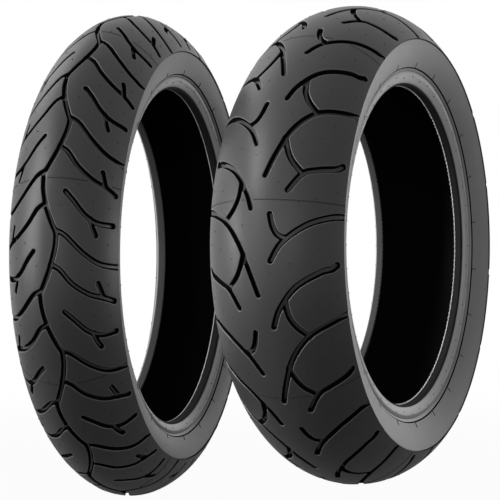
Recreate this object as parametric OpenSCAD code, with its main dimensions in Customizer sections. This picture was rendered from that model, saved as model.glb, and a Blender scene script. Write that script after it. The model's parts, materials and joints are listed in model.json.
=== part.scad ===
// A matched pair of radial motorcycle tyres, front and rear, standing on their treads.
// Each tyre is a laminate of revolved layers. The axle of the rear tyre runs along Y.

/* [Front tyre] */
// Section width of the front tyre
front_width = 120; // [116:1:124]
// Section height of the front tyre as a percentage of its width
front_aspect = 70; // [68:1:74]
// Width over the front bead heels as moulded
front_bead_width = 89; // [86:1:92]
// Radius of the front crown at its centre, seen in section
front_crown_radius = 50.4; // [48:0.1:55]
// Radius of the front crown at its shoulders, seen in section
front_shoulder_radius = 80.4; // [77:0.1:86]
// Pitches of the pattern round the front tread
front_pitches = 14; // [12:1:15]

/* [Rear tyre] */
// Section width of the rear tyre
rear_width = 160; // [156:1:164]
// Section height of the rear tyre as a percentage of its width
rear_aspect = 60; // [59:1:63]
// Width over the rear bead heels as moulded
rear_bead_width = 119; // [115:1:123]
// Radius of the rear crown at its centre, seen in section
rear_crown_radius = 96; // [90:0.1:105]
// Radius of the rear crown at its shoulders, seen in section
rear_shoulder_radius = 97.6; // [93:0.1:105]
// Pitches of the pattern round the rear tread
rear_pitches = 7; // [6:1:8]

/* [Rim] */
// Nominal rim diameter in inches
rim_inches = 15; // [14:1:16]

/* [Tread] */
// Depth of the rear tread grooves
rear_groove_depth = 5.5; // [4:0.5:6]
// Depth of the front tread grooves
front_groove_depth = 4.5; // [3.5:0.5:5]
// Width of the rear tread grooves at the crown centre
rear_groove_width = 5.8; // [4.8:0.1:6.4]
// Width of the rear tread grooves at the tread edge
rear_groove_edge_width = 7.2; // [6.4:0.1:7.6]
// Width of the front tread grooves at the crown centre
front_groove_width = 5; // [4:0.1:5.4]
// Width of the front tread grooves at the tread edge
front_groove_edge_width = 5.6; // [5:0.1:6]
// Rubber left under the tread grooves
groove_floor = 1.5; // [1:0.1:2.5]

/* [Layers] */
// Thickness of the tread base under the cap
base_thickness = 2; // [1.5:0.1:2.5]
// Thickness of the steel belt
belt_thickness = 1.4; // [1:0.1:1.8]
// Thickness of the carcass ply
ply_thickness = 1; // [0.8:0.1:1.2]
// Thickness of the inner liner
liner_thickness = 1.2; // [0.8:0.1:1.6]

/* [Standing place] */
// Distance of the front axle ahead of the rear axle
front_ahead = 198; // [150:1:240]
// Distance of the front tyre to the right of the rear tyre
front_aside = 195; // [190:1:260]
// Turn of the front tyre about the vertical
front_turn = 10.4; // [0:0.1:12]

/* [Hidden] */
$fn = 180;

front = 0;
rear = 1;
inch = 25.4;
// Standard bead seats lie a little inside the nominal rim diameter.
seat_inset = 0.4;
seat_r = rim_inches * inch / 2 - seat_inset;
section = [front_width, rear_width];
tyre_r = [
  rim_inches * inch / 2 + front_width * front_aspect / 100,
  rim_inches * inch / 2 + rear_width * rear_aspect / 100
];
bead_half = [front_bead_width / 2, rear_bead_width / 2];
crown_r = [front_crown_radius, rear_crown_radius];
shoulder_r = [front_shoulder_radius, rear_shoulder_radius];
// Angle from the crown at which the centre radius hands over to the shoulder radius
crown_angle = 24;
pitches = [front_pitches, rear_pitches];
groove_depth = [front_groove_depth, rear_groove_depth];
groove_width = [front_groove_width, rear_groove_width];
groove_edge_width = [front_groove_edge_width, rear_groove_edge_width];

// Depths of the layer boundaries below the tread surface
cap_depth = [for (d = groove_depth) d + groove_floor];
base_depth = [for (d = cap_depth) d + base_thickness];
belt_depth = [for (d = base_depth) d + belt_thickness];
ply_depth = [for (d = belt_depth) d + ply_thickness];
liner_depth = [for (d = ply_depth) d + liner_thickness];

// The crown is drawn with this many cones from edge to edge. An odd count leaves a flat middle.
crown_cones = 13;
// The belt stops this many cones short of the tread edge.
belt_setback = 1;
// Depth at which the sidewall starts below the tread edge
edge_step = 1.2;

// Bead and rim strip, measured from the heel and the bead seat
rim_line_rise = [16, 20];
rim_line_out = 7.5;
rim_line_step = 1;
heel_radius = 2.5;
toe_back = 9.5;
toe_bevel = 0.8;
// Least rubber between the strip's inside face and the ply
toe_wall = 0.4;
bead_back = 3.6;
bead_half_width = 2.6;
bead_half_flat = 1.4;
bead_lift = 2.6;
bead_height = 5.2;
filler_rise = [13, 18];
filler_inset = [5.4, 5.6];
turn_up_end = 0.35;
flap_rise = [9, 11];
strip_drop = 3;
wall_cones = 6;
wall_bulge = 0.8;
flange_cones = 14;
flange_hollow = 1.3;
flange_bulge = 1.7;
// Shares of the flange at which the hollow ends and the bulge starts
hollow_end = 0.46;
bulge_start = 0.3;
// Least rubber between the hollow and the ply behind it
hollow_wall = 0.8;

function mix(p, q, f) = p + (q - p) * f;
function reversed(v) = [for (i = [len(v) - 1:-1:0]) v[i]];

// Crown of tyre k: radius and offset from the mid plane at a given surface angle and depth
function crown_point(k, a, d) =
  let (
    side = a < 0 ? -1 : 1,
    q = abs(a),
    outer = q > crown_angle,
    r = outer ? shoulder_r[k] : crown_r[k],
    shift = outer ? crown_r[k] - shoulder_r[k] : 0
  )
  [
    tyre_r[k] - crown_r[k] + shift * cos(crown_angle) + (r - d) * cos(q),
    side * (shift * sin(crown_angle) + (r - d) * sin(q))
  ];

function edge_angle(k) =
  asin((section[k] / 2 - (crown_r[k] - shoulder_r[k]) * sin(crown_angle)) / shoulder_r[k]);

// Corners of the crown at one depth, counted from the right edge to the left edge
function crown_line(k, d, from, to) =
  [for (i = [from:to > from ? 1 : -1:to]) crown_point(k, edge_angle(k) * (2 * i / crown_cones - 1), d)];

function edge_point(k, d) = crown_point(k, edge_angle(k), d);

// Length along the crown from its centre to a surface angle, and the angle at a length
function crown_length(k, a) =
  (min(a, crown_angle) * crown_r[k] + max(a - crown_angle, 0) * shoulder_r[k]) * PI / 180;

function angle_at(k, s) =
  let (
    side = s < 0 ? -1 : 1,
    q = abs(s) * 180 / PI,
    split = crown_angle * crown_r[k]
  )
  side * (q < split ? q / crown_r[k] : crown_angle + (q - split) / shoulder_r[k]);

// A shallow arc from p to q, pushed out sideways at its middle
function bowed(p, q, out, n) =
  let (
    d = q - p,
    side = [-d[1], d[0]] / norm(d)
  )
  [for (i = [0:n]) mix(p, q, i / n) + side * out * 4 * (i / n) * (1 - i / n)];

// Section points of one side, each as radius and offset from the mid plane
function bead_mid(k) = [seat_r + bead_lift + bead_height / 2, bead_half[k] - bead_back];
function rim_line(k) = [seat_r + rim_line_rise[k], bead_half[k] + rim_line_out];
function filler_tip(k) =
  let (
    r = seat_r + bead_lift + bead_height + filler_rise[k],
    top = edge_point(k, edge_step),
    low = rim_line(k),
    f = (r - low[0]) / (top[0] - low[0])
  )
  [r, mix(low, top, f)[1] - filler_inset[k]];
function ply_top(k) = edge_point(k, belt_depth[k]);
function turn_up(k) = mix(filler_tip(k), ply_top(k), turn_up_end);
function ply_side(k, away) = bead_mid(k) + [0, away * (bead_half_width + ply_thickness)];
function ply_foot(k, away) =
  bead_mid(k) + [-bead_height / 2 - ply_thickness, away * (bead_half_flat + ply_thickness / 2)];
function ply_inner_tip(k) = filler_tip(k) - [0, ply_thickness];
function ply_outer_tip(k) = filler_tip(k) + [0, ply_thickness];
function flap_on_ply(k) =
  let (
    low = ply_side(k, -1),
    top = ply_inner_tip(k),
    f = (seat_r + flap_rise[k] - low[0]) / (top[0] - low[0])
  )
  mix(low, top, f);
function toe(k) = [seat_r + toe_bevel, bead_half[k] - toe_back];
function flap_inside(k) =
  let (
    flap = flap_on_ply(k) - [0, liner_thickness],
    ply = ply_side(k, -1) - [0, toe_wall],
    f = (flap[0] - toe(k)[0]) / (ply[0] - toe(k)[0])
  )
  [flap[0], min(flap[1], mix(toe(k), ply, f)[1])];
function strip_top(k) =
  let (
    low = ply_side(k, 1),
    top = ply_outer_tip(k),
    f = (rim_line(k)[0] - strip_drop - low[0]) / (top[0] - low[0])
  )
  mix(low, top, f);
function strip_corner(k) =
  rim_line(k) + (strip_top(k) - rim_line(k)) * rim_line_step / norm(strip_top(k) - rim_line(k));

// Outer face of the rim strip: a hollow under the rim line, then the flange down to the heel
function heel(k) = [seat_r + heel_radius, bead_half[k]];
function rubber_behind_hollow(k) =
  let (
    low = ply_side(k, 1),
    ply = (strip_top(k) - low) / norm(strip_top(k) - low),
    reach = mix(strip_corner(k), heel(k), hollow_end / 2) - low
  )
  ply[0] * reach[1] - ply[1] * reach[0];
// The hollow is a fillet of the rim line, limited by the wall that it is cut into.
function hollow_depth(k) = min(flange_hollow, rubber_behind_hollow(k) - hollow_wall);
function hollow_at(k, f) = f < hollow_end ? hollow_depth(k) * pow(sin(180 * f / hollow_end), 2) : 0;
function bulge_at(f) = f > bulge_start ? flange_bulge * sin(180 * (f - bulge_start) / (1 - bulge_start)) : 0;
function flange_line(k) =
  let (
    p = strip_corner(k),
    d = heel(k) - p,
    out = [d[1], -d[0]] / norm(d)
  )
  [for (i = [0:flange_cones]) let (f = i / flange_cones) p + d * f + out * (bulge_at(f) - hollow_at(k, f))];

function ply_outline(k) = [
  turn_up(k), turn_up(k) + [0, ply_thickness], ply_outer_tip(k), ply_side(k, 1), ply_foot(k, 1),
  ply_foot(k, -1), ply_side(k, -1), ply_inner_tip(k)
];

function liner_wall(k) = [ply_inner_tip(k) - [0, liner_thickness], flap_inside(k)];

function mirrored(v) = [for (p = v) [p[0], -p[1]]];

// Revolved rings
module ring(points) {
  rotate_extrude() polygon(points);
}

module crown_ring(k, outer, inner, setback) {
  last = crown_cones - setback;
  ring(concat(crown_line(k, outer, setback, last), crown_line(k, inner, last, setback)));
}

module bead_section(k) {
  translate(bead_mid(k)) polygon([
    [-bead_height / 2, -bead_half_flat], [-bead_height / 2, bead_half_flat], [0, bead_half_width],
    [bead_height / 2, bead_half_flat], [bead_height / 2, -bead_half_flat], [0, -bead_half_width]
  ]);
}

module filler_section(k) {
  polygon([
    bead_mid(k) + [0, bead_half_width], bead_mid(k) + [bead_height / 2, bead_half_flat],
    bead_mid(k) + [bead_height / 2, -bead_half_flat], filler_tip(k)
  ]);
}

module both_sides() {
  children();
  mirror([0, 1]) children();
}

// Tread cap with its grooves
module cap(k) {
  difference() {
    crown_ring(k, 0, cap_depth[k], 0);
    grooves(k);
  }
}

module base(k) {
  crown_ring(k, cap_depth[k], base_depth[k], 0);
}

module belt(k) {
  crown_ring(k, base_depth[k], belt_depth[k], belt_setback);
}

module carcass(k) {
  wall = ply_outline(k);
  rotate_extrude() difference() {
    polygon(concat(
      crown_line(k, belt_depth[k], 0, crown_cones), wall,
      crown_line(k, ply_depth[k], crown_cones, 0), mirrored(reversed(wall))
    ));
    both_sides() {
      bead_section(k);
      filler_section(k);
    }
  }
}

module liner(k) {
  outer = [ply_inner_tip(k), flap_on_ply(k)];
  inner = reversed(liner_wall(k));
  ring(concat(
    crown_line(k, ply_depth[k], 0, crown_cones), outer, inner,
    crown_line(k, liner_depth[k], crown_cones, 0), mirrored(reversed(inner)), mirrored(reversed(outer))
  ));
}

module sidewall(k) {
  belt_edge = crown_cones - belt_setback;
  ring(concat(
    bowed(edge_point(k, edge_step), rim_line(k), -wall_bulge, wall_cones),
    [strip_top(k), ply_outer_tip(k), turn_up(k) + [0, ply_thickness], turn_up(k)],
    crown_line(k, belt_depth[k], crown_cones, belt_edge),
    crown_line(k, base_depth[k], belt_edge, crown_cones)
  ));
}

module filler(k) {
  rotate_extrude() filler_section(k);
}

module bead(k) {
  rotate_extrude() bead_section(k);
}

module chafer(k) {
  centre = heel(k) - [0, heel_radius];
  ring(concat(
    flange_line(k),
    [for (a = [22.5:22.5:90]) centre + heel_radius * [-sin(a), cos(a)]],
    [
      toe(k) + toe_bevel * [-1, 1], toe(k),
      flap_inside(k), flap_on_ply(k), ply_side(k, -1), ply_foot(k, -1), ply_foot(k, 1),
      ply_side(k, 1), strip_top(k)
    ]
  ));
}

// Tread pattern. Each groove is a curve through a few points. A point gives the distance from
// the crown centre in percent of the half tread and the place round the tyre in percent of a pitch.
front_grooves = [
  [[11.6, 19.1], [10, 5], [-4, -21], [-11.6, -31]],
  [[11.6, 21], [24, 17], [62, -4.5], [103, -11.5]],
  [[5, 93], [16.7, 88.9], [44, 71], [76, 61.8], [91, 57.1]],
  [[75, 62], [67.5, 75.6]],
  [[20.6, 53.9], [32, 46.7], [62, 30], [90, 28]],
  [[56, 32], [58.9, 25.3], [64.3, 18.1]]
];
rear_grooves = [
  [[11.6, 65.2], [20.5, 72.7], [41, 81.8], [70.6, 87.5], [84.3, 88.6], [90.6, 90.1]],
  [[28, 76], [30.6, 69.6], [38.5, 64.4], [51, 59.8]],
  [[103, 66], [83, 64.4], [51, 59.8], [28, 50.7], [13, 38.8], [3.2, 29]],
  [[20.5, 46], [26.3, 39.8], [33.7, 35.2], [46.4, 30.6]],
  [[92, 37.3], [84.3, 35.3], [63, 33.1], [46.4, 30.6], [31.3, 23]],
  [[12.4, 12.6], [15.8, 7.8], [21.6, 4.2], [31, 2.5]],
  [[97, 12.9], [83, 12.2], [55, 8.4], [27.4, 1], [13.7, -6.7]]
];
groove_curves = [
  [front_grooves],
  [[for (i = [0:4]) rear_grooves[i]], [for (i = [5:6]) rear_grooves[i]]]
];
// Straight pieces between two points of a groove curve
curve_steps = 2;
// Height above the tread at which the floor's ring is clear of every groove cutter
clear_outside = 60;
// Groove depths by which a cutter reaches below the lowest point of its outline
below_floor = 2;

// A smooth curve through the given points, doubling the end points
function curve_point(v, i, f) =
  let (
    p0 = v[max(i - 1, 0)],
    p1 = v[i],
    p2 = v[i + 1],
    p3 = v[min(i + 2, len(v) - 1)]
  )
  (2 * p1 + (p2 - p0) * f + (2 * p0 - 5 * p1 + 4 * p2 - p3) * f * f
    + (3 * p1 - p0 - 3 * p2 + p3) * f * f * f) / 2;

function smooth(v) = concat(
  [for (i = [0:len(v) - 2]) for (j = [0:curve_steps - 1]) curve_point(v, i, j / curve_steps)],
  [v[len(v) - 1]]
);

function pitch_length(k) = 2 * PI * tyre_r[k] / pitches[k];

// Percent coordinates as lengths along the crown and round the tyre
function as_lengths(k, p) =
  [p[0] / 100 * crown_length(k, edge_angle(k)), p[1] / 100 * pitch_length(k)];

// Shortening of lengths round the tyre away from the crown centre
function round_scale(k, s) = crown_point(k, angle_at(k, s), 0)[0] / tyre_r[k];

function heading(k, v, i) =
  let (
    d = v[min(i + 1, len(v) - 1)] - v[max(i - 1, 0)],
    e = [d[0], d[1] * round_scale(k, v[i][0])]
  )
  e / norm(e);

function beside(k, p, dir, turn, reach) =
  let (
    c = cos(turn),
    s = sin(turn)
  )
  p + reach * [dir[0] * c - dir[1] * s, (dir[0] * s + dir[1] * c) / round_scale(k, p[0])];

// Half of a groove's width, which grows from the crown centre to the tread edge
function half_groove(k, s) =
  mix(groove_width[k], groove_edge_width[k], abs(s) / crown_length(k, edge_angle(k))) / 2;

// Closed outline of a groove with rounded ends
function groove_outline(k, curve) =
  let (
    v = [for (p = smooth(curve)) as_lengths(k, p)],
    n = len(v) - 1,
    h = [for (p = v) half_groove(k, p[0])]
  )
  concat(
    [for (i = [0:n]) beside(k, v[i], heading(k, v, i), 90, h[i])],
    [for (a = [30, -30]) beside(k, v[n], heading(k, v, n), a, h[n])],
    [for (i = [n:-1:0]) beside(k, v[i], heading(k, v, i), -90, h[i])],
    [for (a = [-150, 150]) beside(k, v[0], heading(k, v, 0), a, h[0])]
  );

// Point, normal and lateral direction of the tread surface at lengths s and t
function turn_at(k, t) = -t / tyre_r[k] * 180 / PI;
function surface_point(k, p) =
  let (
    c = crown_point(k, angle_at(k, p[0]), 0),
    q = turn_at(k, p[1])
  )
  [c[0] * cos(q), c[0] * sin(q), c[1]];

// One group of grooves, cut along the surface normal at the middle of the group
module groove_group(k, curves) {
  spread = [for (curve = curves) for (p = curve) p];
  low = [min([for (p = spread) p[0]]), min([for (p = spread) p[1]])];
  high = [max([for (p = spread) p[0]]), max([for (p = spread) p[1]])];
  middle = as_lengths(k, (low + high) / 2);
  a = angle_at(k, middle[0]);
  q = turn_at(k, middle[1]);
  origin = surface_point(k, middle);
  along = [-sin(q), cos(q), 0];
  across = [-sin(a) * cos(q), -sin(a) * sin(q), cos(a)];
  up = [cos(a) * cos(q), cos(a) * sin(q), sin(a)];
  outlines = [for (curve = curves) [for (p = groove_outline(k, curve)) surface_point(k, p) - origin]];
  heights = [for (outline = outlines) for (p = outline) p * up];
  bottom = min(heights) - below_floor * groove_depth[k];
  top = max(heights) + groove_depth[k];
  multmatrix([
    [along[0], across[0], up[0], origin[0]],
    [along[1], across[1], up[1], origin[1]],
    [along[2], across[2], up[2], origin[2]]
  ])
    translate([0, 0, bottom])
      linear_extrude(top - bottom)
        for (outline = outlines) polygon([for (p = outline) [p * along, p * across]]);
}

module pattern(k) {
  for (i = [0:pitches[k] - 1], side = [0, 1], curves = groove_curves[k])
    rotate([0, 0, 360 * (i + side / 2) / pitches[k]])
      mirror([0, 0, side]) groove_group(k, curves);
}

// The pattern, kept above the groove floor. The floor runs one cone past each tread edge.
module grooves(k) {
  intersection() {
    crown_ring(k, -clear_outside, groove_depth[k], -1);
    pattern(k);
  }
}

// How far tyre k reaches from its middle along X and Y when it is turned about the vertical
function reach(k, turn) =
  let (half = [for (p = crown_line(k, 0, 0, crown_cones)) [p[0], abs(p[1])]])
  [
    max([for (p = half) p * [cos(turn), sin(turn)]]),
    max([for (p = half) p * [sin(turn), cos(turn)]])
  ];

// Middle of the pair, seen from above, measured from the middle of the rear tyre
front_place = [front_ahead, -front_aside];
front_reach = reach(front, front_turn);
rear_reach = reach(rear, 0);
pair_middle = [
  for (i = [0, 1])
    (max(rear_reach[i], front_place[i] + front_reach[i])
      + min(-rear_reach[i], front_place[i] - front_reach[i])) / 2
];

// Radius of the flat middle band that meets the ground
function standing_r(k) = crown_point(k, edge_angle(k) / crown_cones, 0)[0];

// Stand each tyre on the ground with its axle level
module stand(k) {
  place = (k == front ? front_place : [0, 0]) - pair_middle;
  translate([place[0], place[1], standing_r(k)])
    rotate([0, 0, k == front ? front_turn : 0])
      rotate([-90, 0, 0]) children();
}

module other_side() {
  mirror([0, 0, 1]) children();
}

tread_grey = [0.24, 0.24, 0.24];
wall_grey = [0.42, 0.42, 0.42];
dark_grey = [0.12, 0.12, 0.12];
steel_grey = [0.6, 0.6, 0.62];
ply_tan = [0.5, 0.45, 0.36];

module front_tread() { color(tread_grey) stand(front) cap(front); }
module front_base() { color(dark_grey) stand(front) base(front); }
module front_belt() { color(steel_grey) stand(front) belt(front); }
module front_carcass() { color(ply_tan) stand(front) carcass(front); }
module front_liner() { color(dark_grey) stand(front) liner(front); }
module front_sidewall_left() { color(wall_grey) stand(front) sidewall(front); }
module front_sidewall_right() { color(wall_grey) stand(front) other_side() sidewall(front); }
module front_filler_left() { color(dark_grey) stand(front) filler(front); }
module front_filler_right() { color(dark_grey) stand(front) other_side() filler(front); }
module front_bead_left() { color(steel_grey) stand(front) bead(front); }
module front_bead_right() { color(steel_grey) stand(front) other_side() bead(front); }
module front_chafer_left() { color(dark_grey) stand(front) chafer(front); }
module front_chafer_right() { color(dark_grey) stand(front) other_side() chafer(front); }

module rear_tread() { color(tread_grey) stand(rear) cap(rear); }
module rear_base() { color(dark_grey) stand(rear) base(rear); }
module rear_belt() { color(steel_grey) stand(rear) belt(rear); }
module rear_carcass() { color(ply_tan) stand(rear) carcass(rear); }
module rear_liner() { color(dark_grey) stand(rear) liner(rear); }
module rear_sidewall_left() { color(wall_grey) stand(rear) sidewall(rear); }
module rear_sidewall_right() { color(wall_grey) stand(rear) other_side() sidewall(rear); }
module rear_filler_left() { color(dark_grey) stand(rear) filler(rear); }
module rear_filler_right() { color(dark_grey) stand(rear) other_side() filler(rear); }
module rear_bead_left() { color(steel_grey) stand(rear) bead(rear); }
module rear_bead_right() { color(steel_grey) stand(rear) other_side() bead(rear); }
module rear_chafer_left() { color(dark_grey) stand(rear) chafer(rear); }
module rear_chafer_right() { color(dark_grey) stand(rear) other_side() chafer(rear); }

front_tread();
front_base();
front_belt();
front_carcass();
front_liner();
front_sidewall_left();
front_sidewall_right();
front_filler_left();
front_filler_right();
front_bead_left();
front_bead_right();
front_chafer_left();
front_chafer_right();
rear_tread();
rear_base();
rear_belt();
rear_carcass();
rear_liner();
rear_sidewall_left();
rear_sidewall_right();
rear_filler_left();
rear_filler_right();
rear_bead_left();
rear_bead_right();
rear_chafer_left();
rear_chafer_right();
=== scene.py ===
import json
import math

import bpy
import numpy as np
from mathutils import Matrix, Vector
from mathutils.geometry import delaunay_2d_cdt


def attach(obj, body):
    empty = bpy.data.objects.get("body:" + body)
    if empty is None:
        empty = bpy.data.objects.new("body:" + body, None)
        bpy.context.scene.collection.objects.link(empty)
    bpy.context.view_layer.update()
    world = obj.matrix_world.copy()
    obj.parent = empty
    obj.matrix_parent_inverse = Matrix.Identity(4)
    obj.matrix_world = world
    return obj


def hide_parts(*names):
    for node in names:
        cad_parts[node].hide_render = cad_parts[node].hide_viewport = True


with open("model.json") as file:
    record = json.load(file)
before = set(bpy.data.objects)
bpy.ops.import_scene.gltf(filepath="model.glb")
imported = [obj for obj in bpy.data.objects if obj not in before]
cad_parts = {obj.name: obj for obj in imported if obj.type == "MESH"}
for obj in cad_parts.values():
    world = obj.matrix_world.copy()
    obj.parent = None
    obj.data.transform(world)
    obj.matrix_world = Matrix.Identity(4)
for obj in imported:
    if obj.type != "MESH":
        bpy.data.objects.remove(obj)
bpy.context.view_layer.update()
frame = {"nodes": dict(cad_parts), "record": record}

# Lengths are in millimetres up to the point where a mesh is made.
MM = 0.001
RIM_RADIUS = 15 * 25.4 / 2
SEAT_R = RIM_RADIUS - 0.4
CROWN_ANGLE = math.radians(24)

# Layers, and the bead and rim strip as measured from the heel and the seat
GROOVE_FLOOR = 1.5
BASE, BELT, PLY, LINER = 2.0, 1.4, 1.0, 1.2
EDGE_STEP = 1.2
BELT_EDGE = 11 / 13
RIM_OUT, RIM_STEP, STRIP_DROP = 7.5, 1.0, 3.0
HEEL_R, TOE_BACK, TOE_BEVEL = 2.5, 9.5, 0.8
BEAD_BACK, BEAD_LIFT, BEAD_HALF, BEAD_FLAT = 3.6, 2.6, 2.6, 1.4
TURN_UP, WALL_BULGE = 0.35, 0.8
# Points along the rounded stretches of the sections
WALL_POINTS, LAYER_POINTS, LINER_POINTS, HEEL_POINTS = 33, 6, 41, 8

# Flange: depth of its hollow and height of its bulge, the shares of its width where the hollow ends and
# where the bulge starts, and the power that flattens the bulge
FLANGE_HOLLOW, FLANGE_BULGE = 0.9, 1.2
HOLLOW_END, BULGE_START, BULGE_POWER = 0.48, 0.22, 0.35
FLANGE_POINTS = 61
# Painted shade: dark tones of the flange's first points, under the rim line, and of the bottom of its
# hollow
RIM_LINE_SHADES = (0.8, 0.4)
HOLLOW_SHADE = 0.68
# Share of the flange's width where a painted highlight begins to grow pale towards the heel
HEEL_HIGHLIGHT_START = 0.5
# Width of the painted shade along the sidewall's borders, which fades out over as much again
EDGE_SHADE_WIDTH = 0.5
# Toe lip: its section from the seat and the toe, and its teeth by count, height and section points
TOE_LIP = [(1.2, 0.6), (0.3, 1.1), (0.0, 0.9), (0.0, -0.2), (1.2, -0.4)]
TOE_TEETH = (200, 1.2, (2, 3))
TOE_SEGMENTS = 1600

# Groove section: distance outside the groove edge, share of the depth, dark tone (painted shade on the
# walls and the floor's border) and pale tone (painted highlight along the lip)
PROFILE = [
    (1.2, 0.0, 0.0, 0.0),
    (0.7, 0.01, 0.0, 1.0),
    (0.35, 0.05, 0.0, 0.8),
    (0.15, 0.2, 1.0, 0.0),
    (-0.5, 0.93, 1.0, 0.0),
    (-0.9, 1.0, 1.0, 0.0),
    (-1.5, 1.0, 0.9, 0.0),
    (-2.1, 1.0, 0.0, 0.0),
]
# Distances at the start of the lip, the wall and the floor, and near the end of the floor's border of
# painted shade
LIP, WALL, FLOOR, FOOT = (PROFILE[n][0] for n in (0, 3, 5, 6))
# Share of the half tread where the grooves start to rise, and the share of their depth at its edge
RISE_START, EDGE_DEPTH = 0.88, 0.12
# Grid that the grooves are measured on: its spacing, the fillet where grooves meet, the furthest distance
CELL, FILLET, REACH = 0.7, 1.4, 14.0
# Plain points of the tread: spacing across and round it, and room to the lips at its borders and inside
STEP_ACROSS, STEP_ROUND = 5.2, 8.0
BORDER_ROOM, INSIDE_ROOM = 0.6, 1.6
# Plain points of the cap's inner face: columns across it and spacing round it
INNER_COLUMNS, INNER_STEP = 25, 15
# Tolerance for points on one line or level
TINY = 1e-6
# Any direction that no vent stub has, to turn the stubs' rings by
ASIDE = (0.31, 0.17, 0.93)


def hollow_shape():
    """Share of the hollow's depth along the flange."""
    f = np.linspace(0, 1, FLANGE_POINTS)
    return np.where(f < HOLLOW_END, np.sin(np.pi * f / HOLLOW_END) ** 2, 0)


class Tyre:
    """One tyre's section, place and tread pattern.

    They follow the CAD part, but the flange is flatter and the grooves run out at the tread's edge.
    """

    def __init__(self, name, width, aspect, bead_width, crown_r, shoulder_r, pitches, depth, groove,
                 groove_edge, curves, vents, seam, rim_rise, filler_rise, filler_inset, flap_rise,
                 toe_teeth):
        self.name = name
        self.toe_teeth = toe_teeth
        self.radius = RIM_RADIUS + width * aspect / 100
        self.bead_half = bead_width / 2
        self.crown_r = crown_r
        self.shoulder_r = shoulder_r
        self.pitches = pitches
        self.pitch = 2 * math.pi * self.radius / pitches
        self.depth = depth
        self.groove = groove
        self.groove_edge = groove_edge
        self.curves = curves
        self.vents = vents
        self.seam = seam
        self.rim_rise = rim_rise
        self.filler_rise = filler_rise
        self.filler_inset = filler_inset
        self.flap_rise = flap_rise
        self.cap = depth + GROOVE_FLOOR
        self.base = self.cap + BASE
        self.belt = self.base + BELT
        self.ply = self.belt + PLY
        self.liner = self.ply + LINER
        shift = crown_r - shoulder_r
        self.edge = math.asin((width / 2 - shift * math.sin(CROWN_ANGLE)) / shoulder_r)
        self.half = CROWN_ANGLE * crown_r + (self.edge - CROWN_ANGLE) * shoulder_r
        mount = [m for m in frame["record"]["mounts"] if m["name"] == name + "_bead_seat"][0]
        axis = Vector(mount["axis"])
        if axis.y < 0:
            axis = -axis
        self.turn = math.atan2(-axis.x, axis.y)
        self.place = Matrix.Translation(mount["pos_m"]) @ Matrix.Rotation(self.turn, 4, "Z")
        self.section_points()

    def angle_at(self, s):
        """Surface angle at a length s across the tread from its middle."""
        q = np.abs(s)
        split = CROWN_ANGLE * self.crown_r
        outer = CROWN_ANGLE + (q - split) / self.shoulder_r
        return np.sign(s) * np.where(q < split, q / self.crown_r, outer)

    def crown(self, angle, depth):
        """Radius and offset from the mid plane at a surface angle and a depth."""
        q = np.abs(angle)
        outer = q > CROWN_ANGLE
        r = np.where(outer, self.shoulder_r, self.crown_r)
        shift = np.where(outer, self.crown_r - self.shoulder_r, 0.0)
        hub = self.radius - self.crown_r + shift * math.cos(CROWN_ANGLE)
        radius = hub + (r - depth) * np.cos(q)
        offset = np.sign(angle) * (shift * math.sin(CROWN_ANGLE) + (r - depth) * np.sin(q))
        return radius, offset

    def surface(self, s, t, depth):
        """Points and outward normals at lengths s across and t round the tread."""
        s, t, depth = np.broadcast_arrays(*(np.asarray(v, float) for v in (s, t, depth)))
        a = self.angle_at(s)
        radius, offset = self.crown(a, depth)
        phi = t / self.radius
        points = np.stack([radius * np.cos(phi), offset, radius * np.sin(phi)], axis=-1)
        normals = np.stack([np.cos(a) * np.cos(phi), np.sin(a), np.cos(a) * np.sin(phi)], axis=-1)
        return points, normals

    def half_groove(self, s):
        """Half the width of the grooves, which grow wider towards the edge."""
        return (self.groove + (self.groove_edge - self.groove) * np.abs(s) / self.half) / 2

    def groove_depth(self, s):
        """Depth of the grooves, which run out towards the edge."""
        rise = np.clip((np.abs(s) / self.half - RISE_START) / (1 - RISE_START), 0, 1)
        return self.depth * (1 - (1 - EDGE_DEPTH) * rise * rise * (3 - 2 * rise))

    def crown_arc(self, depth, start, end, count):
        """Section points at one depth under the tread, between two surface angles."""
        radius, offset = self.crown(np.linspace(start, end, count), depth)
        return [np.array(p) for p in zip(radius, offset)]

    def section_points(self):
        """Corners of the left side's layers, each as radius and offset from the mid plane."""
        bead = np.array([SEAT_R + BEAD_LIFT + BEAD_HALF, self.bead_half - BEAD_BACK])
        self.out = np.array([0, PLY])
        self.rim = np.array([SEAT_R + self.rim_rise, self.bead_half + RIM_OUT])
        self.top = self.crown_arc(EDGE_STEP, self.edge, self.edge, 1)[0]
        tip_r = bead[0] + BEAD_HALF + self.filler_rise
        share = (tip_r - self.rim[0]) / (self.top[0] - self.rim[0])
        tip_out = self.rim[1] + (self.top[1] - self.rim[1]) * share - self.filler_inset
        self.tip = np.array([tip_r, tip_out])
        ply_top = self.crown_arc(self.belt, self.edge, self.edge, 1)[0]
        self.up = self.tip + (ply_top - self.tip) * TURN_UP
        self.side_out = bead + [0, BEAD_HALF + PLY]
        self.side_in = bead - [0, BEAD_HALF + PLY]
        self.foot_out = bead + [-BEAD_HALF - PLY, BEAD_FLAT + PLY / 2]
        self.foot_in = bead + [-BEAD_HALF - PLY, -BEAD_FLAT - PLY / 2]
        self.flap_top = self.tip - self.out
        share = (SEAT_R + self.flap_rise - self.side_in[0]) / (self.flap_top[0] - self.side_in[0])
        self.flap = self.side_in + (self.flap_top - self.side_in) * share
        self.flap_inside = self.flap - [0, LINER]
        share = (self.rim[0] - STRIP_DROP - self.side_out[0]) / (self.tip[0] - self.side_out[0])
        self.strip = self.side_out + (self.tip + self.out - self.side_out) * share
        inward = self.strip - self.rim
        self.corner = self.rim + inward * RIM_STEP / np.hypot(*inward)
        self.heel = np.array([SEAT_R + HEEL_R, self.bead_half])
        self.toe = self.bead_half - TOE_BACK

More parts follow.
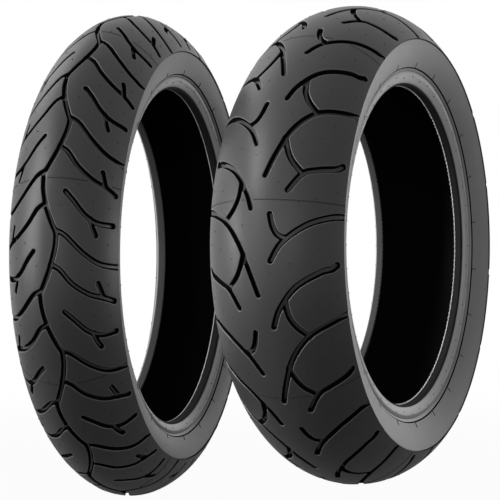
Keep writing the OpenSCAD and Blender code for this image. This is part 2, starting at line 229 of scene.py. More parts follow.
    def flange(self):
        """Section from the step under the sidewall: a hollow, then the bulging flange to the heel."""
        d = self.heel - self.corner
        side = np.array([-d[1], d[0]]) / -np.hypot(*d)
        f = np.linspace(0, 1, FLANGE_POINTS)[:, None]
        hollow = hollow_shape()[:, None]
        swell = np.sin(np.pi * np.clip((f - BULGE_START) / (1 - BULGE_START), 0, 1))
        bulge = np.clip(swell, 0, 1) ** BULGE_POWER
        return self.corner + d * f + side * (FLANGE_BULGE * bulge - FLANGE_HOLLOW * hollow)


# Tread grooves: curves through points in percent of the half tread and percent of a pitch
FRONT_CURVES = [
    [(11.6, 19.1), (10.5, 7), (4.1, -8.7), (-5, -22.5), (-11.6, -31)],
    [(11.6, 21), (24, 17), (47.6, 2.6), (72, -7.5), (103, -11.5)],
    [(5, 93), (16.7, 88.9), (33, 76.8), (55, 66.8), (76, 61.8), (91, 57.1)],
    [(75, 62), (67.5, 75.6)],
    [(20.6, 53.9), (32, 46.7), (48, 35.5), (66, 29), (90, 28)],
    [(56, 32), (58.9, 25.3), (64.3, 18.1)],
]
REAR_CURVES = [
    [(11.6, 65.2), (20.5, 72.7), (41, 81.8), (70.6, 87.5), (84.3, 88.6), (90.6, 90.1)],
    [(28, 76), (30.6, 69.6), (38.5, 64.4), (51, 59.8)],
    [(103, 66), (83, 64.4), (51, 59.8), (28, 50.7), (13, 38.8), (3.2, 29)],
    [(20.5, 46), (26.3, 39.8), (33.7, 35.2), (46.4, 30.6)],
    [(92, 37.3), (84.3, 35.3), (63, 33.1), (46.4, 30.6), (31.3, 23)],
    [(12.4, 12.6), (15.8, 7.8), (21.6, 4.2), (31, 2.5)],
    [(97, 12.9), (83, 12.2), (55, 8.4), (27.4, 1), (13.7, -6.7)],
]
# Vents of the mould, in the same percentages
FRONT_VENTS = [(16, 42), (37, 8), (37, 61), (58, 48), (58, 88), (82, 10), (82, 44), (82, 74)]
REAR_VENTS = [
    (12, 88), (20, 26), (22, 58), (36, 92), (40, 44), (44, 18), (60, 74), (60, 48), (64, 20),
    (70, 98), (74, 56), (88, 76), (88, 50), (88, 24),
]

FRONT = Tyre(
    "front", width=120, aspect=70, bead_width=89, crown_r=50.4, shoulder_r=80.4, pitches=14,
    depth=4.5, groove=5.0, groove_edge=5.6, curves=FRONT_CURVES, vents=FRONT_VENTS, seam=80,
    rim_rise=16, filler_rise=13, filler_inset=5.4, flap_rise=9, toe_teeth=False,
)
REAR = Tyre(
    "rear", width=160, aspect=60, bead_width=119, crown_r=96, shoulder_r=97.6, pitches=7,
    depth=5.5, groove=5.8, groove_edge=7.2, curves=REAR_CURVES, vents=REAR_VENTS, seam=48,
    rim_rise=20, filler_rise=18, filler_inset=5.6, flap_rise=11, toe_teeth=True,
)


def smooth_curve(points, steps=10):
    """Catmull-Rom curve through the points, with the end points doubled."""
    v = np.array([points[0]] + list(points) + [points[-1]], float)
    out = []
    for i in range(1, len(v) - 2):
        p0, p1, p2, p3 = v[i - 1:i + 3]
        for j in range(steps):
            f = j / steps
            out.append((2 * p1 + (p2 - p0) * f + (2 * p0 - 5 * p1 + 4 * p2 - p3) * f * f
                        + (3 * p1 - p0 - 3 * p2 + p3) * f ** 3) / 2)
    out.append(v[-2])
    return np.array(out)


def add_distance(near, s, t, stretch, line, reach):
    """Lowers the grid's distances where a line lies nearer, as far as the reach on each side of it."""
    for p, q in zip(line[:-1], line[1:]):
        low = np.minimum(p, q) - reach
        high = np.maximum(p, q) + reach
        i0, i1 = np.searchsorted(s, [low[0], high[0]])
        j0, j1 = np.searchsorted(t, [low[1], high[1]])
        if i0 >= i1 or j0 >= j1:
            continue
        k = stretch[None, i0:i1]
        x = s[None, i0:i1] - p[0]
        y = (t[j0:j1, None] - p[1]) * k
        dx = q[0] - p[0]
        dy = (q[1] - p[1]) * k
        f = np.clip((x * dx + y * dy) / (dx * dx + dy * dy), 0, 1)
        d = np.hypot(x - f * dx, y - f * dy)
        near[j0:j1, i0:i1] = np.minimum(near[j0:j1, i0:i1], d)


def groove_field(tyre):
    """Distance to the edge of the grooves on a grid over one pitch, with fillets where they meet."""
    columns = 2 * round(tyre.half / CELL)
    rows = round(tyre.pitch / CELL)
    s = np.linspace(-tyre.half, tyre.half, columns + 1)
    t = np.linspace(0, tyre.pitch, rows + 1)
    stretch = tyre.crown(tyre.angle_at(s), 0.0)[0] / tyre.radius
    field = np.full((rows + 1, columns + 1), REACH)
    for curve in tyre.curves:
        line = smooth_curve(curve) * [tyre.half / 100, tyre.pitch / 100]
        for side in (1, -1):
            near = np.full_like(field, REACH)
            for turn in range(-2, 3):
                moved = line * [side, 1] + [0, (turn - (side < 0) * 0.5) * tyre.pitch]
                add_distance(near, s, t, stretch, moved, REACH)
            near -= tyre.half_groove(s)[None, :]
            blend = np.clip(0.5 + 0.5 * (near - field) / FILLET, 0, 1)
            field = near + (field - near) * blend - FILLET * blend * (1 - blend)
    field[-1] = field[0]
    return s, t, field


def contours(s, t, field, level):
    """Lines of the field at a level, by marching squares, each with whether it is closed."""
    v = field - level
    v = np.where(v == 0, 1e-9, v)
    place = {}
    links = {}

    def crossing(j, i, jj, ii):
        key = (j, i, jj, ii)
        if key not in place:
            f = v[j, i] / (v[j, i] - v[jj, ii])
            place[key] = (s[i] + (s[ii] - s[i]) * f, t[j] + (t[jj] - t[j]) * f)
        return key

    inside = v < 0
    corners = inside[:-1, :-1].astype(int) + inside[1:, :-1] + inside[:-1, 1:] + inside[1:, 1:]
    for j, i in zip(*np.nonzero((corners > 0) & (corners < 4))):
        sides = [(j, i, j, i + 1), (j, i + 1, j + 1, i + 1), (j + 1, i, j + 1, i + 1), (j, i, j + 1, i)]
        found = [crossing(*e) for e in sides if inside[e[0], e[1]] != inside[e[2], e[3]]]
        for a, b in zip(found[0::2], found[1::2]):
            links.setdefault(a, []).append(b)
            links.setdefault(b, []).append(a)
    lines = []
    used = set()
    for start in [k for k in links if len(links[k]) == 1] + list(links):
        if start in used:
            continue
        chain = [start]
        used.add(start)
        while True:
            onward = [k for k in links[chain[-1]] if k not in used]
            if not onward:
                break
            chain.append(onward[0])
            used.add(onward[0])
        lines.append((np.array([place[k] for k in chain]), len(links[start]) == 2))
    return lines


def thinned(points, tolerance=0.035, longest=7):
    """Fewer points of an open line, none further from the old line than the tolerance."""
    keep = np.zeros(len(points), bool)
    keep[0] = keep[-1] = True
    stack = [(0, len(points) - 1)]
    while stack:
        a, b = stack.pop()
        if b - a < 2:
            continue
        d = points[b] - points[a]
        length = np.hypot(*d)
        mid = points[a + 1:b] - points[a]
        if length < 1e-9:
            off = np.hypot(mid[:, 0], mid[:, 1])
        else:
            off = np.abs(mid[:, 0] * d[1] - mid[:, 1] * d[0]) / length
        k = int(np.argmax(off))
        if off[k] > tolerance or length > longest:
            k = k + a + 1 if off[k] > tolerance else (a + b) // 2
            keep[k] = True
            stack += [(a, k), (k, b)]
    return points[keep]


def thinned_loop(points):
    """Fewer points of a closed line, which is thinned in two halves."""
    half = len(points) // 2
    first = thinned(points[:half + 1])
    second = thinned(np.vstack([points[half:], points[:1]]))
    return np.vstack([first, second[1:]])


def new_mesh(tyre, name, verts, faces, normals=None, sharp=None):
    """A smooth mesh object from points in millimetres in the tyre's own frame."""
    turn = np.array(tyre.place.to_3x3())
    verts = np.asarray(verts) * MM @ turn.T + np.array(tyre.place.translation)
    mesh = bpy.data.meshes.new(name)
    mesh.from_pydata(verts.tolist(), [], [tuple(f) for f in faces])
    mesh.polygons.foreach_set("use_smooth", [True] * len(mesh.polygons))
    mesh.update()
    if sharp is not None:
        mesh.set_sharp_from_angle(angle=math.radians(sharp))
    if normals is not None:
        own = np.array([v.vector for v in mesh.vertex_normals])
        given = np.array([n is not None for n in normals])
        own[given] = np.array([n for n in normals if n is not None]) @ turn.T
        mesh.normals_split_custom_set_from_vertices([tuple(n) for n in own])
    obj = bpy.data.objects.new(name, mesh)
    bpy.context.scene.collection.objects.link(obj)
    return obj


def set_tones(obj, dark, pale):
    """Per-point shares that the rubber materials blend towards their dark (painted shade) and pale (painted
    highlight) tones.
    """
    for name, values in (("dark", dark), ("pale", pale)):
        tone = obj.data.attributes.new(name, "FLOAT", "POINT")
        tone.data.foreach_set("value", np.asarray(values, float))


PIECES = {"front": [], "rear": []}


def finish_piece(obj, slot, material, *nodes):
    """Gives a piece its material and body, and hides the CAD nodes that it stands for. The slot is not
    used.
    """
    PIECES[obj.name.split("_")[0]].append(obj)
    obj.data.materials.append(material)
    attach(obj, "root")
    if nodes:
        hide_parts(*nodes)


class Sheet:
    """A triangulated sheet over one pitch of the tread, repeated and welded round the tyre."""

    def __init__(self, tyre, points, edges, first):
        coords = [Vector((float(x), float(y))) for x, y in points]
        verts, _, self.faces, origin, _, _ = delaunay_2d_cdt(coords, edges, [], 0, 1e-5, True)
        self.source = [o[0] if o else -1 for o in origin]
        self.xy = [points[o] if o >= 0 else tuple(v) for v, o in zip(verts, self.source)]
        start = {round(x, 4): n for n, (x, y) in enumerate(self.xy) if abs(y) < TINY}
        end = [n for n, (x, y) in enumerate(self.xy) if abs(y - tyre.pitch) < TINY]
        self.wrap = {n: start[round(self.xy[n][0], 4)] for n in end}
        self.body = [n for n in range(len(self.xy)) if n not in self.wrap]
        self.rank = {n: k for k, n in enumerate(self.body)}
        self.tyre = tyre
        self.first = first

    def number(self, n, k):
        """Index of point n of the k-th pitch in the whole tread."""
        if n in self.wrap:
            n, k = self.wrap[n], k + 1
        return self.first + self.rank[n] + len(self.body) * (k % self.tyre.pitches)

    def edge_line(self, value):
        """Points of one pitch along an edge of the sheet, in order."""
        line = [n for n in self.body if abs(self.xy[n][0] - value) < TINY]
        return sorted(line, key=lambda n: self.xy[n][1])

    def laid_out(self, depth):
        """All points and normals round the tyre, at one depth or at a depth per body point."""
        xy = np.array(self.xy)[self.body]
        turns = [k * self.tyre.pitch for k in range(self.tyre.pitches)]
        laid = [self.tyre.surface(xy[:, 0], xy[:, 1] + t, depth) for t in turns]
        return np.vstack([p for p, _ in laid]), np.vstack([n for _, n in laid])

    def all_faces(self):
        """Faces of the whole ring, pitch by pitch."""
        return [[self.number(n, k) for n in f] for k in range(self.tyre.pitches) for f in self.faces]


def outer_sheet(tyre, s, t, field):
    """The tread surface over one pitch, cut along its groove edges, with the level of each point."""
    rows, columns = len(t) - 1, len(s) - 1
    points, levels, edges, index = [], [], [], {}

    def add(p, level):
        key = (round(p[0], 5), round(p[1], 5))
        if key not in index:
            index[key] = len(points)
            points.append((float(p[0]), float(p[1])))
            levels.append(level)
        return index[key]

    for level, *_ in PROFILE:
        for line, closed in contours(s, t, field, level):
            line = thinned_loop(line) if closed else thinned(line)
            if len(line) < 3:
                continue
            ids = [add(p, level) for p in line]
            edges += [(a, b) for a, b in zip(ids[:-1], ids[1:]) if a != b]

    step_s, step_t = round(STEP_ACROSS / CELL), round(STEP_ROUND / CELL)
    middle = columns // 2
    across = {0, columns, *range(middle, columns + 1, step_s), *range(middle, -1, -step_s)}
    for j in sorted({rows, *range(0, rows + 1, step_t)}):
        for i in sorted(across):
            border = j in (0, rows) or i in (0, columns)
            corner = j in (0, rows) and i in (0, columns)
            if corner or field[j, i] > LIP + (BORDER_ROOM if border else INSIDE_ROOM):
                add((s[i], t[j]), field[j, i])

    for axis, value in ((1, t[0]), (1, t[-1]), (0, s[0]), (0, s[-1])):
        border = [n for n, p in enumerate(points) if abs(p[axis] - value) < 1e-7]
        border.sort(key=lambda n: points[n][1 - axis])
        edges += list(zip(border[:-1], border[1:]))
    sheet = Sheet(tyre, points, edges, 0)
    return sheet, np.array([levels[o] if o >= 0 else 0.0 for o in sheet.source])


def inner_sheet(tyre, outer, borders, t_end, first):
    """The cap's inner face over one pitch, with the same points along its two edges."""
    points, edges = [], []
    for line in borders:
        start = len(points)
        points += [outer.xy[n] for n in line]
        points.append((outer.xy[line[0]][0], t_end))
        edges += [(n, n + 1) for n in range(start, len(points) - 1)]
    across = np.linspace(-tyre.half, tyre.half, INNER_COLUMNS)[1:-1]
    for y in np.linspace(0, tyre.pitch, round(tyre.pitch / INNER_STEP) + 1):
        points += [(float(x), float(y)) for x in across]
    return Sheet(tyre, points, edges, first)


def tread_piece(tyre, material, wall_shade_material):
    """The tread cap: grooved surface, inner face and the two edges."""
    s, t, field = groove_field(tyre)
    outer, levels = outer_sheet(tyre, s, t, field)
    borders = [outer.edge_line(s[0]), outer.edge_line(s[-1])]
    total = len(outer.body) * tyre.pitches
    inner = inner_sheet(tyre, outer, borders, t[-1], total)

    # Faces on the groove walls and along the floor's border take the near-black second material: painted
    # shade
    high = [max(levels[n] for n in f) for f in outer.faces]
    walls = [WALL + TINY > level > FOOT + TINY for level in high]
    levels = levels[outer.body]
    columns = list(zip(*PROFILE[::-1]))
    share, dark, pale = (np.interp(levels, columns[0], column) for column in columns[1:])
    across = np.array(outer.xy)[outer.body, 0]
    points, normals = outer.laid_out(share * tyre.groove_depth(across))
    flat = np.tile((levels >= LIP - TINY) | (levels <= FLOOR + TINY), tyre.pitches)
    in_points, _ = inner.laid_out(tyre.cap)
    faces = outer.all_faces() + [f[::-1] for f in inner.all_faces()]

    place = {(round(x, 4), round(y, 4)): n for n, (x, y) in enumerate(inner.xy)}
    for line, sense in zip(borders, (1, -1)):
        pairs = [(n, place[(round(outer.xy[n][0], 4), round(outer.xy[n][1], 4))]) for n in line]
        for k in range(tyre.pitches):
            ring = [(outer.number(a, k), inner.number(b, k)) for a, b in pairs]
            ring.append((outer.number(pairs[0][0], k + 1), inner.number(pairs[0][1], k + 1)))
            faces += [[a, b, d, c][::sense] for (a, b), (c, d) in zip(ring[:-1], ring[1:])]

    kept = [n if ok else None for n, ok in zip(normals, flat)] + [None] * len(in_points)
    obj = new_mesh(tyre, tyre.name + "_tread_cap", np.vstack([points, in_points]), faces, kept, sharp=50)
    spare = np.zeros(len(in_points))
    set_tones(obj, *(np.concatenate([np.tile(v, tyre.pitches), spare]) for v in (dark, pale)))
    finish_piece(obj, "tread", material, tyre.name + "_tread")
    obj.data.materials.append(wall_shade_material)
    slots = np.zeros(len(faces), int)
    slots[:len(walls) * tyre.pitches] = np.tile(walls, tyre.pitches)
    obj.data.polygons.foreach_set("material_index", slots)
    return s, t, field


def ring_piece(tyre, name, outline, tones=None, segments=256, sharp=32, flip=False, teeth=None, slots=None):
    """A closed outline of radius and offset points, revolved about the axle.

    tones are the dark and pale shares of each point, slots the material slot of each stretch, and
    teeth the count, the height and the numbers of the points that they are cut into.
    """
    outline = np.array(outline)
    if flip:
        outline = outline * [1, -1]
    order = np.arange(len(outline))
    after = np.roll(outline, -1, axis=0)
    if np.sum(outline[:, 0] * after[:, 1] - after[:, 0] * outline[:, 1]) < 0:
        order = order[::-1]
    n = len(outline)
    phi = np.arange(segments)[:, None] * 2 * math.pi / segments
    radius = np.broadcast_to(outline[order, 0], (segments, n))
    if teeth:
        count, height, marked = teeth
        radius = radius - height * np.isin(order, marked) * (np.sin(count * phi) > 0)
    offset = np.broadcast_to(outline[order, 1], (segments, n))
    points = np.stack([radius * np.cos(phi), offset, radius * np.sin(phi)], axis=-1).reshape(-1, 3)
    faces = []
    for k in range(segments):
        a, b = k * n, (k + 1) % segments * n
        faces += [(a + i, b + i, b + (i + 1) % n, a + (i + 1) % n) for i in range(n)]
    obj = new_mesh(tyre, name, points, faces, sharp=sharp)
    if tones is not None:
        set_tones(obj, *(np.tile(np.asarray(v, float)[order], segments) for v in tones))
    if slots is not None:
        along = slots if order[0] == 0 else np.roll(slots[::-1], -1)
        obj.data.polygons.foreach_set("material_index", np.tile(along, segments))
    return obj


def bowed(p, q, out, count):
    """A shallow curve from p to q, which stands out to one side at its middle."""
    d = q - p
    side = np.array([-d[1], d[0]]) / np.hypot(*d)
    f = np.linspace(0, 1, count)[:, None]
    return p + d * f + side * out * 4 * f * (1 - f)


def sidewall_piece(tyre, side, material, edge_shade_material):
    """Sidewall panel with painted shade along the tread edge and the rim line: a dark tone and near-black
    faces.
    """
    outer = bowed(tyre.top, tyre.rim, -WALL_BULGE, WALL_POINTS)
    seg = np.hypot(*np.diff(outer, axis=0).T)
    reach = np.concatenate([[0], np.cumsum(seg)])
    length = reach[-1]
    stops = np.sort(np.concatenate([reach, [EDGE_SHADE_WIDTH, 2 * EDGE_SHADE_WIDTH, length - 2 * EDGE_SHADE_WIDTH, length - EDGE_SHADE_WIDTH]]))
    outer = np.stack([np.interp(stops, reach, outer[:, i]) for i in (0, 1)], axis=-1)
    # Painted shade: dark along both borders, fading inwards
    dark = np.clip(2 - np.minimum(stops, length - stops) / EDGE_SHADE_WIDTH, 0, 1)
    belt_edge = tyre.edge * BELT_EDGE
    rest = [tyre.strip, tyre.tip + tyre.out, tyre.up + tyre.out, tyre.up]
    rest += tyre.crown_arc(tyre.belt, tyre.edge, belt_edge, LAYER_POINTS)
    rest += tyre.crown_arc(tyre.base, belt_edge, tyre.edge, LAYER_POINTS)
    tones = [np.concatenate([dark, np.zeros(len(rest))]), np.zeros(len(outer) + len(rest))]
    slots = np.zeros(len(outer) + len(rest), int)
    slots[:len(outer) - 1] = np.minimum(stops, length - stops)[:-1] < EDGE_SHADE_WIDTH / 2
    slots[len(outer) - 3:len(outer)] = 1
    name = tyre.name + "_sidewall_" + side
    flip = side == "right"
    obj = ring_piece(tyre, name + "_skin", list(outer) + rest, tones, flip=flip, slots=slots)
    finish_piece(obj, "sidewall", material, name)
    obj.data.materials.append(edge_shade_material)


def chafer_piece(tyre, side, material, seat_material):
    """Rim strip: hollow, flange and heel, with the bead seat and toe in a material of their own, darker as
    painted shade on the left and lighter as painted light on the right.
    """
    flange = tyre.flange()
    steps = np.linspace(0, math.pi / 2, HEEL_POINTS + 1)[1:]
    arc = [tyre.heel + HEEL_R * np.array([-math.sin(a), math.cos(a) - 1]) for a in steps]
    toe = [np.array([SEAT_R, tyre.toe + TOE_BEVEL]), np.array([SEAT_R + TOE_BEVEL, tyre.toe])]
    inside = [tyre.flap_inside, tyre.flap, tyre.side_in]
    under_ply = [tyre.foot_in, tyre.foot_out, tyre.side_out, tyre.strip]
    outline = list(flange) + arc + toe + inside + under_ply
    # Painted shade under the rim line and in the hollow, and a painted highlight growing towards the heel
    dark = np.zeros(len(outline))
    dark[:len(flange)] = HOLLOW_SHADE * hollow_shape()
    dark[:len(RIM_LINE_SHADES)] = RIM_LINE_SHADES
    pale = np.zeros(len(outline))
    pale[:len(flange)] = np.linspace(-HEEL_HIGHLIGHT_START, 1 - HEEL_HIGHLIGHT_START, len(flange)).clip(0) / (1 - HEEL_HIGHLIGHT_START)
    slots = np.arange(len(outline)) >= len(flange) - 1
    name = tyre.name + "_chafer_" + side
    flip = side == "right"
    obj = ring_piece(tyre, name + "_skin", outline, [dark, pale], flip=flip, slots=slots.astype(int))
    finish_piece(obj, "chafer", material, name)
    obj.data.materials.append(seat_material)


def toe_piece(tyre, side, material):
    """The thin trimmed lip along the toe, with fine teeth on a tyre that has them."""
    outline = np.array(TOE_LIP) + [SEAT_R, tyre.toe]
    teeth = TOE_TEETH if tyre.toe_teeth else None
    name = tyre.name + "_toe_lip_" + side
    flip = side == "right"
    obj = ring_piece(tyre, name, outline, segments=TOE_SEGMENTS, sharp=40, flip=flip, teeth=teeth)
    finish_piece(obj, "chafer", material)


def liner_piece(tyre, material):
    """The airtight skin from bead to bead."""

    def mirrored(points):
        return [q * [1, -1] for q in points[::-1]]

    outer = [tyre.flap_top, tyre.flap]
    inner = [tyre.flap_inside, tyre.flap_top - [0, LINER]]
    outline = tyre.crown_arc(tyre.ply, -tyre.edge, tyre.edge, LINER_POINTS) + outer + inner
    outline += tyre.crown_arc(tyre.liner, tyre.edge, -tyre.edge, LINER_POINTS)
    outline += mirrored(inner) + mirrored(outer)
    name = tyre.name + "_liner"
    obj = ring_piece(tyre, name + "_skin", outline)
    finish_piece(obj, "liner", material, name)


def stud_mesh(tyre, name, studs, radius, height, sides=10):
    """Low round studs at given points, each with its outward normal."""
    levels = [(1.0, -0.4), (1.0, 0.55), (0.72, 0.9)]
    verts, faces = [], []
    for point, normal in studs:
        n = np.array(normal, float)
        u = np.cross(n, ASIDE)
        u /= np.linalg.norm(u)
        v = np.cross(n, u)
        start = len(verts)
        for share, lift in levels:
            for i in range(sides):
                a = 2 * math.pi * i / sides
                reach = radius * share * (u * math.cos(a) + v * math.sin(a))
                verts.append(point + reach + n * height * lift)
        verts.append(point + n * height)
        faces.append([start + i for i in range(sides)][::-1])
        for k in range(len(levels) - 1):
            for i in range(sides):
                a, b = start + k * sides + i, start + k * sides + (i + 1) % sides
                faces.append([a, b, b + sides, a + sides])
        last = start + (len(levels) - 1) * sides
        faces += [[last + i, last + (i + 1) % sides, last + sides] for i in range(sides)]
    return new_mesh(tyre, name, verts, faces, sharp=40)


def ribbon(points, normals, width, height):
    """Vertices and faces of a low rounded rib along a line of surface points."""
    points, normals = np.array(points), np.array(normals)
    side = np.cross(normals, np.gradient(points, axis=0))
    side /= np.linalg.norm(side, axis=1)[:, None]
    shape = [(-0.5, -0.4), (-0.5, 0.3), (-0.2, 1.0), (0.2, 1.0), (0.5, 0.3), (0.5, -0.4)]
    n = len(shape)
    verts = np.stack([points + side * width * a + normals * height * b for a, b in shape], axis=1)
    faces = []
    for k in range(len(points) - 1):
        for i in range(n):
            j = (i + 1) % n
            faces.append([k * n + i, k * n + j, (k + 1) * n + j, (k + 1) * n + i])
    faces.append(list(range(n))[::-1])
    faces.append([(len(points) - 1) * n + i for i in range(n)])
    return verts.reshape(-1, 3), faces


def joined(parts):
    """One list of vertices and one of faces from several of each."""
    verts, faces = [], []
    for v, f in parts:
        base = len(verts)
        verts += list(v)
        faces += [[i + base for i in face] for face in f]
    return verts, faces


def room_beside_grooves(tyre, grid, s, t):
    """Distance from a place on the tread to the nearest groove edge."""
    gs, gt, field = grid
    i = min(max(round((s - gs[0]) / (gs[1] - gs[0])), 0), len(gs) - 1)
    j = round((t % tyre.pitch) / (gt[1] - gt[0])) % (len(gt) - 1)
    return field[j, i]


def mould_lines(tyre, grid, material, count=8, width=1.3, height=0.25, step=1.2, room=0.5):
    """Fine raised lines across the tread where the mould's segments meet."""
    parts = []
    for k in range(count):
        t = tyre.seam + 2 * math.pi * tyre.radius * k / count
        run = []
        for s in list(np.arange(-tyre.half + step / 2, tyre.half - room, step)) + [None]:
            if s is not None and room_beside_grooves(tyre, grid, s, t) > LIP + room:
                run.append(s)
                continue
            if len(run) > 3:
                parts.append(ribbon(*tyre.surface(np.array(run), t, 0.0), width, height))
            run = []
    verts, faces = joined(parts)
    finish_piece(new_mesh(tyre, tyre.name + "_mould_lines", verts, faces, sharp=60), "tread", material)


def tread_vents(tyre, grid, material, radius=0.8, height=0.4, room=3):
    """The stubs left by the vents of the mould."""
    studs = []
    for k in range(tyre.pitches):
        for side in (1, -1):
            for a, b in tyre.vents:
                s = side * a / 100 * tyre.half
                t = (b / 100 + k - (side < 0) * 0.5) * tyre.pitch
                if room_beside_grooves(tyre, grid, s, t) > room:
                    studs.append(tyre.surface(s, t, 0.0))
    finish_piece(stud_mesh(tyre, tyre.name + "_vent_stubs", studs, radius, height), "tread", material)


def on_side(side, point, slope, phi):
    """Place and outward normal on a side of the tyre, from a section point and its normal."""
    hand = 1 if side == "left" else -1
    place = np.array([point[0] * math.cos(phi), hand * point[1], point[0] * math.sin(phi)])
    normal = np.array([slope[0] * math.cos(phi), hand * slope[1], slope[0] * math.sin(phi)])
    return place, normal


def side_ribs(tyre, side, material, count=22, width=1.3, height=0.4):
    """Short plain ribs above the rim line."""
    path = bowed(tyre.rim, tyre.top, WALL_BULGE, WALL_POINTS)[1:9:2]
    run = path[-1] - path[0]
    slope = np.array([-run[1], run[0]]) / np.hypot(*run)
    parts = []
    for k in range(count):
        phi = 2 * math.pi * (k + 0.5) / count
        line = [on_side(side, p, slope, phi) for p in path]
        parts.append(ribbon([q[0] for q in line], [q[1] for q in line], width, height))
    verts, faces = joined(parts)
    name = tyre.name + "_side_ribs_" + side
    finish_piece(new_mesh(tyre, name, verts, faces, sharp=60), "sidewall", material)


def flange_vents(tyre, side, material, count=48, rows=(28, 38), radius=0.8, height=0.45):
    """Two staggered rows of vent stubs, at two of the flange's points."""
    path = tyre.flange()
    studs = []
    for k in range(count):
        at = rows[k % 2]
        tangent = path[at + 1] - path[at - 1]
        tangent /= np.hypot(*tangent)
        slope = np.array([tangent[1], -tangent[0]])
        studs.append(on_side(side, path[at], slope, 2 * math.pi * k / count))
    name = tyre.name + "_flange_stubs_" + side
    finish_piece(stud_mesh(tyre, name, studs, radius, height), "chafer", material)


def textured(name, colour, rough, mottle):
    """A material with cloudy colour and uneven gloss. Gives it with its nodes and its fine noise."""
    mat = bpy.data.materials.new(name)
    mat.use_nodes = True
    nodes, links = mat.node_tree.nodes, mat.node_tree.links
    bsdf = nodes["Principled BSDF"]
    place = nodes.new("ShaderNodeTexCoord")
    cloud = nodes.new("ShaderNodeTexNoise")
    cloud.inputs["Scale"].default_value = 14
    cloud.inputs["Detail"].default_value = 5
    cloud.inputs["Roughness"].default_value = 0.6
    links.new(place.outputs["Object"], cloud.inputs["Vector"])
    ramp = nodes.new("ShaderNodeValToRGB")
    for element, position, share in zip(ramp.color_ramp.elements, (0.3, 0.72), (1 - mottle, 1 + mottle)):
        element.position = position
        element.color = [c * share for c in colour] + [1]
    links.new(cloud.outputs["Fac"], ramp.inputs["Fac"])
    links.new(ramp.outputs["Color"], bsdf.inputs["Base Color"])
    fine = nodes.new("ShaderNodeTexNoise")
    fine.inputs["Detail"].default_value = 4
    links.new(place.outputs["Object"], fine.inputs["Vector"])
    span = nodes.new("ShaderNodeMapRange")
    span.inputs["From Min"].default_value = 0.3
    span.inputs["From Max"].default_value = 0.7
    span.inputs["To Min"].default_value = rough - 0.05
    span.inputs["To Max"].default_value = rough + 0.06
    links.new(fine.outputs["Fac"], span.inputs["Value"])
    links.new(span.outputs["Result"], bsdf.inputs["Roughness"])
    return mat, nodes, links, place, fine


def add_bump(nodes, links, height, strength, distance):
    """Bumps of the surface by a height, over a distance in metres."""
    bump = nodes.new("ShaderNodeBump")
    bump.inputs["Strength"].default_value = strength
    bump.inputs["Distance"].default_value = distance
    links.new(height, bump.inputs["Height"])
    links.new(bump.outputs["Normal"], nodes["Principled BSDF"].inputs["Normal"])


def rubber(name, colour, rough, specular, grain_scale=900, grain=0.2, mottle=0.1):
    """Moulded rubber: faint mottling, fine grain and uneven gloss."""
    mat, nodes, links, _, fine = textured(name, colour, rough, mottle)
    nodes["Principled BSDF"].inputs["Specular IOR Level"].default_value = specular
    fine.inputs["Scale"].default_value = grain_scale
    add_bump(nodes, links, fine.outputs["Fac"], grain, 0.0004)
    return mat


def toned(mat, dark, pale):
    """Blends the colour by the mesh's tones: dark as painted shade in creases, hollows and grooves, pale as
    a painted highlight on edges.
    """
    nodes, links = mat.node_tree.nodes, mat.node_tree.links
    bsdf = nodes["Principled BSDF"]
    for name, colour in (("dark", dark), ("pale", pale)):
        plain = bsdf.inputs["Base Color"].links[0].from_socket
        tone = nodes.new("ShaderNodeAttribute")
        tone.attribute_name = name
        mix = nodes.new("ShaderNodeMix")
        mix.data_type = "RGBA"
        links.new(tone.outputs["Fac"], mix.inputs["Factor"])
        links.new(plain, mix.inputs["A"])
        mix.inputs["B"].default_value = (*colour, 1)
        links.new(mix.outputs["Result"], bsdf.inputs["Base Color"])
    return mat


def corded(tyre, name, colour, rough, metallic, spacing, radial):
    """Cords laid side by side, wound round the tyre or running from bead to bead."""
    mat, nodes, links, place, fine = textured(tyre.name + name, colour, rough, 0.15)
    nodes["Principled BSDF"].inputs["Metallic"].default_value = metallic
    fine.inputs["Scale"].default_value = 700
    own = nodes.new("ShaderNodeMapping")
    own.vector_type = "TEXTURE"
    own.inputs["Location"].default_value = tyre.place.translation
    own.inputs["Rotation"].default_value = (math.pi / 2, 0, tyre.turn)
    links.new(place.outputs["Object"], own.inputs["Vector"])
    wave = nodes.new("ShaderNodeMath")
    wave.operation = "SINE"
    pitch = nodes.new("ShaderNodeMath")
    pitch.operation = "MULTIPLY"
    links.new(pitch.outputs[0], wave.inputs[0])
    if radial:
        angle = nodes.new("ShaderNodeTexGradient")
        angle.gradient_type = "RADIAL"
        links.new(own.outputs["Vector"], angle.inputs["Vector"])
        links.new(angle.outputs["Fac"], pitch.inputs[0])
        pitch.inputs[1].default_value = 2 * math.pi * round(2 * math.pi * tyre.radius / spacing)
    else:
        split = nodes.new("ShaderNodeSeparateXYZ")
        links.new(own.outputs["Vector"], split.inputs["Vector"])
        links.new(split.outputs["Z"], pitch.inputs[0])
        pitch.inputs[1].default_value = 2 * math.pi / (spacing * MM)
    add_bump(nodes, links, wave.outputs[0], 0.6, 0.0003)
    return mat


# Dark tone that the rubbers blend towards: painted shade
SHADE_BLACK = (0.006, 0.006, 0.006)
# Tread rubber with painted shade in the grooves and a pale painted highlight along the groove lips
TREAD = toned(
    rubber("tread_rubber", (0.024, 0.024, 0.0245), rough=0.4, specular=0.3),
    SHADE_BLACK, (0.08, 0.08, 0.081),
)
# Near-black rubber on the groove walls and along the sidewall's borders: painted shade
SHADE_RUBBER = rubber("groove_rubber", (0.002, 0.002, 0.002), rough=0.9, specular=0.02)
